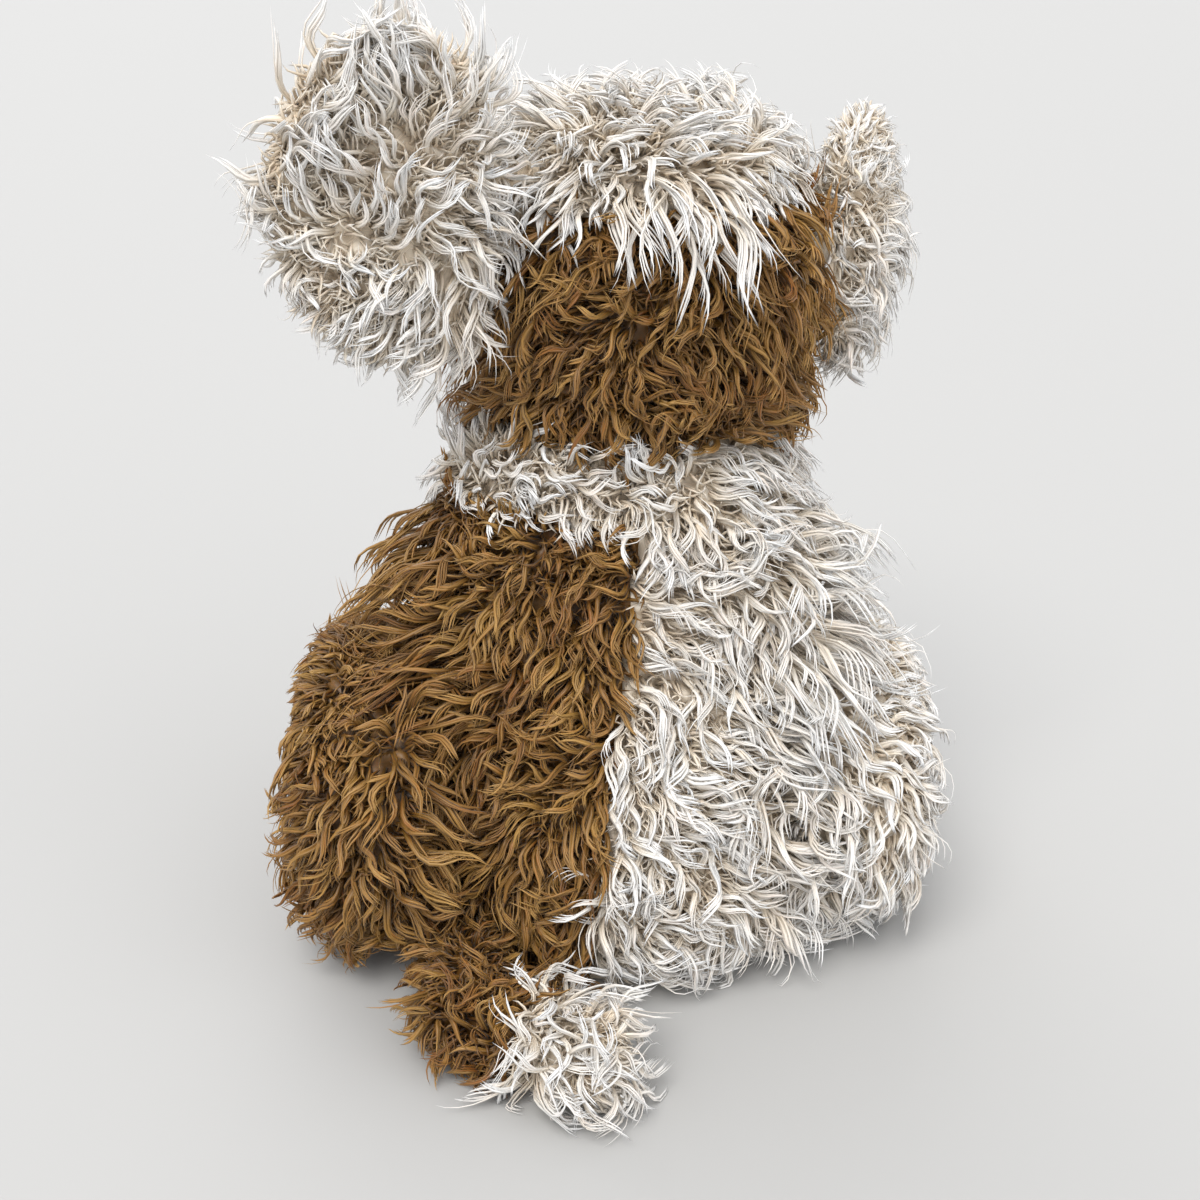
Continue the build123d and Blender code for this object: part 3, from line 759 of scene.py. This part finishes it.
def backing(body):
    """Patches {cover: (vertices, quads, uv)}, closed and pushed below the pile."""
    covers = BODY_COVERS[body]
    filling = [FILLING[body]] if body in FILLING else []
    pad = [PADS[body]] if body in PADS else []
    v, quads, n = remeshed(covers + filling + pad, VOXEL)
    pairs = edges_of(quads)
    centre = v[quads].mean(1)
    owner = np.zeros(len(quads), int)
    watched = {ORDER.index(c) for c in covers + pad}
    for i, c in enumerate(centre):
        best, owner[i] = 1e9, -1
        for _, _, face, distance in WORLD.find_nearest_range(Vector(c), OWNER_REACH):
            if OWNER[face] in watched and distance < best:
                best, owner[i] = distance, OWNER[face]
    free = free_space(v, n, far=30.0, start=1.2)
    depth = EAR_DEEP if "ear" in body else DEEP
    push = depth * smooth(free, 2.0, PRESSED + 4)
    push[(v[:, 2] < 2.5) & (n[:, 2] < -0.4)] = 0
    thin = pad or [c for c in covers if c.endswith("ear_web")]
    for node in thin:
        tree = BVHTree.FromPolygons(CAD[node][0].tolist(), CAD[node][1].tolist())
        near = np.array([tree.find_nearest(Vector(q))[3] for q in v])
        push = push * smooth(near, 1.0, 8.0)
    push = relax(push, pairs, 3)
    bump = (1.1 * lumps(v) + 0.6 * fine_lumps(v)) * push / depth
    v = v - n * (push - bump)[:, None]
    v[:, 2] = np.maximum(v[:, 2], 0.0)
    inner = v - n * BACKING
    tone = in_strip(0.5 + 0.2 * patchy(v) + 0.12 * mottle(v))
    # The backing sits low in the strip, darker partly as its own underwool colour and partly as
    # painted shade under the pile; the bump term paints light on the raised lumps and shade in
    # their dips.
    height = np.clip(0.20 + 0.10 * (bump / 1.7) + 0.04 * mottle(v), 0.02, 0.45)
    uv = np.stack([tone, height], -1)
    found = {}
    for cover in covers:
        mine = quads[owner == ORDER.index(cover)]
        if not len(mine):
            continue
        edge = edges_of(mine)
        key = np.sort(edge, 1)
        _, inverse, times = np.unique(key, axis=0, return_inverse=True, return_counts=True)
        rim = edge[times[inverse.ravel()] == 1]
        used = np.unique(mine)
        to = np.full(len(v), -1)
        to[used] = np.arange(len(used))
        size = len(used)
        top = to[mine]
        under = to[mine][:, ::-1] + size
        a, b = to[rim[:, 0]], to[rim[:, 1]]
        walls = np.stack([b, a, a + size, b + size], 1)
        verts = np.concatenate([v[used], inner[used]])
        found[cover] = (verts, np.concatenate([top, under, walls]), np.concatenate([uv[used]] * 2))
    return found


def web_ends(name):
    """Where an ear's web leaves the head, and its hem at the ear's root, in metres."""
    co = CAD[name][0]
    away = np.linalg.norm((co - HEAD_MID)[:, :2], axis=1)
    near, far = co[away < away.min() + 1.5].mean(0), co[away > away.max() - 1.5].mean(0)
    near[2] = far[2] = co[:, 2].mean()
    return near * M, far * M


def build_fur(body):
    """One piece for each cover of a body: its patch of backing with the pile rooted in it."""
    patches = backing(body)
    for name, (verts, quads, uv) in patches.items():
        faces = [quads]
        colour = "cream"
        if name in FUR:
            colour = FUR[name].colour
            for sv, sq, st, suv in strands_of(name):
                faces += [sq + len(verts), st + len(verts)]
                verts = np.concatenate([verts, sv])
                uv = np.concatenate([uv, suv])
        piece = write_mesh(f"pile_{name}", verts, faces, uv)
        piece.data.materials.append(PILE_OF[colour])
        if name.endswith("ear_web"):
            at_head, at_ear = web_ends(name)
            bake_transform(piece)
        else:
            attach(piece, body)
        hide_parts(name)


for body in BODY_COVERS:
    build_fur(body)


# ---- fillings, pads, nose, mouth ---------------------------------------------------------------
def solid_noise(name, base, spots, scale, roughness, bump=0.3, **extra):
    mat, nodes, links, shader = new_material(name, Roughness=roughness, **extra)
    where = nodes.new("ShaderNodeTexCoord")
    noise = nodes.new("ShaderNodeTexNoise")
    noise.inputs["Scale"].default_value = scale
    noise.inputs["Detail"].default_value = 6.0
    links.new(where.outputs["Object"], noise.inputs["Vector"])
    colour = ramp(nodes, links, noise.outputs[0], [(0.3, base), (0.7, spots)])
    links.new(colour, shader.inputs["Base Color"])
    if bump:
        rough = nodes.new("ShaderNodeBump")
        rough.inputs["Strength"].default_value = bump
        rough.inputs["Distance"].default_value = 0.0006
        links.new(noise.outputs[0], rough.inputs["Height"])
        links.new(rough.outputs[0], shader.inputs["Normal"])
    return mat


WADDING = solid_noise("wadding", srgb(214, 206, 192), srgb(236, 231, 222), 220, 0.9)
FELT = solid_noise("felt_pads", srgb(206, 176, 142), srgb(226, 200, 168), 900, 0.85)
HARDBOARD = solid_noise("hardboard", srgb(104, 72, 44), srgb(136, 98, 62), 420, 0.75)
STEEL = solid_noise("bright_steel", srgb(170, 172, 176), srgb(200, 202, 205), 800, 0.32,
                    Metallic=1.0)
WASHER = solid_noise("washer_plastic", srgb(206, 204, 196), srgb(220, 218, 211), 300, 0.5)
THREAD = solid_noise("black_thread", srgb(30, 24, 22), srgb(58, 48, 44), 1500, 0.6)

FILLING_VOXEL, PAD_VOXEL = 3.0, 1.3


def stuffed(body, node, prefix, voxel, rise, material):
    """A soft piece in place of a CAD node, its skin moved by the given rise."""
    v, quads, n = remeshed([node], voxel)
    v = v + n * rise(v)[:, None]
    v[:, 2] = np.maximum(v[:, 2], 0.0)
    piece = write_mesh(prefix + node, v, [quads])
    piece.data.materials.append(material)
    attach(piece, body)
    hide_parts(node)


def lumpy(v):
    return 0.5 * lumps(v) - 0.9


def felted(v):
    return 0.10 * fine_lumps(v)


for body, node in FILLING.items():
    stuffed(body, node, "filling_", FILLING_VOXEL, lumpy, WADDING)
for body, node in PADS.items():
    stuffed(body, node, "pad_", PAD_VOXEL, felted, FELT)

STITCH = 1.1              # spacing of the satin stitches on the nose
STITCH_HEIGHT = 0.22
for node, voxel in (("nose", 0.7), ("mouth_stitches", 0.45)):
    v, quads, n = remeshed([node], voxel)
    ridge = np.sin(v[:, 0] * 2 * math.pi / STITCH) if node == "nose" else fine_lumps(v * 4)
    v = v + n * (STITCH_HEIGHT * ridge)[:, None]
    piece = write_mesh("sewn_" + node, v, [quads])
    piece.data.materials.append(THREAD)
    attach(piece, "head")
    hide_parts(node)


# ---- eyes and hardware: the CAD nodes with their own materials ---------------------------------
def eye_material(name, centre):
    """Brown glass with a black pupil: rings round the front of the eye, in centimetres."""
    mat, nodes, links, shader = new_material(name, Roughness=0.12)
    shader.inputs["Coat Weight"].default_value = 1.0
    shader.inputs["Coat Roughness"].default_value = 0.03
    where = nodes.new("ShaderNodeTexCoord")
    away = nodes.new("ShaderNodeVectorMath")
    away.operation = "DISTANCE"
    away.inputs[1].default_value = centre
    links.new(where.outputs["Object"], away.inputs[0])
    scaled = nodes.new("ShaderNodeMath")
    scaled.operation = "MULTIPLY"
    scaled.inputs[1].default_value = 100.0
    links.new(away.outputs["Value"], scaled.inputs[0])
    colour = ramp(nodes, links, scaled.outputs[0],
                  [(0.33, srgb(6, 5, 5)), (0.37, srgb(96, 52, 18)), (0.60, srgb(60, 30, 10)),
                   (0.66, srgb(10, 7, 6))])
    links.new(colour, shader.inputs["Base Color"])
    return mat


def shown(name, mat):
    """Shows a CAD node as it is, in a material of its own."""
    ob = NODES[name]
    ob.data.materials.clear()
    ob.data.materials.append(mat)


for name in NODES:
    if name.endswith("_disc"):
        shown(name, HARDBOARD)
    elif name.endswith(("_pin", "washer")) or name == "body_washers":
        shown(name, STEEL)
    elif name == "eye_washers":
        shown(name, WASHER)
    elif name.endswith("_eye"):
        co = CAD[name][0]
        front = co[co[:, 1] < co[:, 1].min() + 0.4].mean(0)
        shown(name, eye_material(f"{name}_glass", front * M))


# ---- floor, light, camera ----------------------------------------------------------------------
FLOOR_SIZE = 40
FLOOR_DROP = 0.0002       # the floor lies this far under the toy
CAMERA_AT = (0.006, 0.509, 0.382)
CAMERA_AIM = (0.006, 0.010, 0.128)
CAMERA_ANGLE = 40

bpy.ops.mesh.primitive_plane_add(size=FLOOR_SIZE, location=(0, 0, -FLOOR_DROP))
floor = bpy.context.object
floor.name = "floor"
mat, nodes, links, shader = new_material("floor_paper", Roughness=0.8)
shader.inputs["Base Color"].default_value = srgb(176, 175, 173)
floor.data.materials.append(mat)

world = bpy.data.worlds.new("studio")
world.use_nodes = True
sky = world.node_tree.nodes["Background"]
sky.inputs["Color"].default_value = srgb(226, 228, 232)
sky.inputs["Strength"].default_value = 1.15
bpy.context.scene.world = world


def soft_light(name, at, spread, strength, colour=(1, 1, 1)):
    """A wide soft light that shines from a direction on to the middle of the toy."""
    data = bpy.data.lights.new(name, "SUN")
    data.angle = math.radians(spread)
    data.energy = strength
    data.color = colour
    ob = bpy.data.objects.new(name, data)
    ob.rotation_euler = Vector(at).to_track_quat("Z", "Y").to_euler()
    bpy.context.scene.collection.objects.link(ob)


soft_light("key", (0.25, 0.55, 1.0), 35, 2.3, (1, 0.99, 0.97))
soft_light("fill", (-0.8, 0.6, 0.55), 60, 0.7, (0.96, 0.98, 1))
soft_light("front", (0.3, -0.9, 0.7), 60, 0.85)

camera_data = bpy.data.cameras.new("camera")
camera_data.sensor_fit = "HORIZONTAL"
camera_data.angle = math.radians(CAMERA_ANGLE)
camera_data.clip_start = 0.01
camera = bpy.data.objects.new("camera", camera_data)
camera.location = CAMERA_AT
aim = Vector(CAMERA_AIM) - camera.location
camera.rotation_euler = aim.to_track_quat("-Z", "Y").to_euler()
bpy.context.scene.collection.objects.link(camera)
bpy.context.scene.camera = camera
bpy.context.scene.view_settings.view_transform = "Standard"
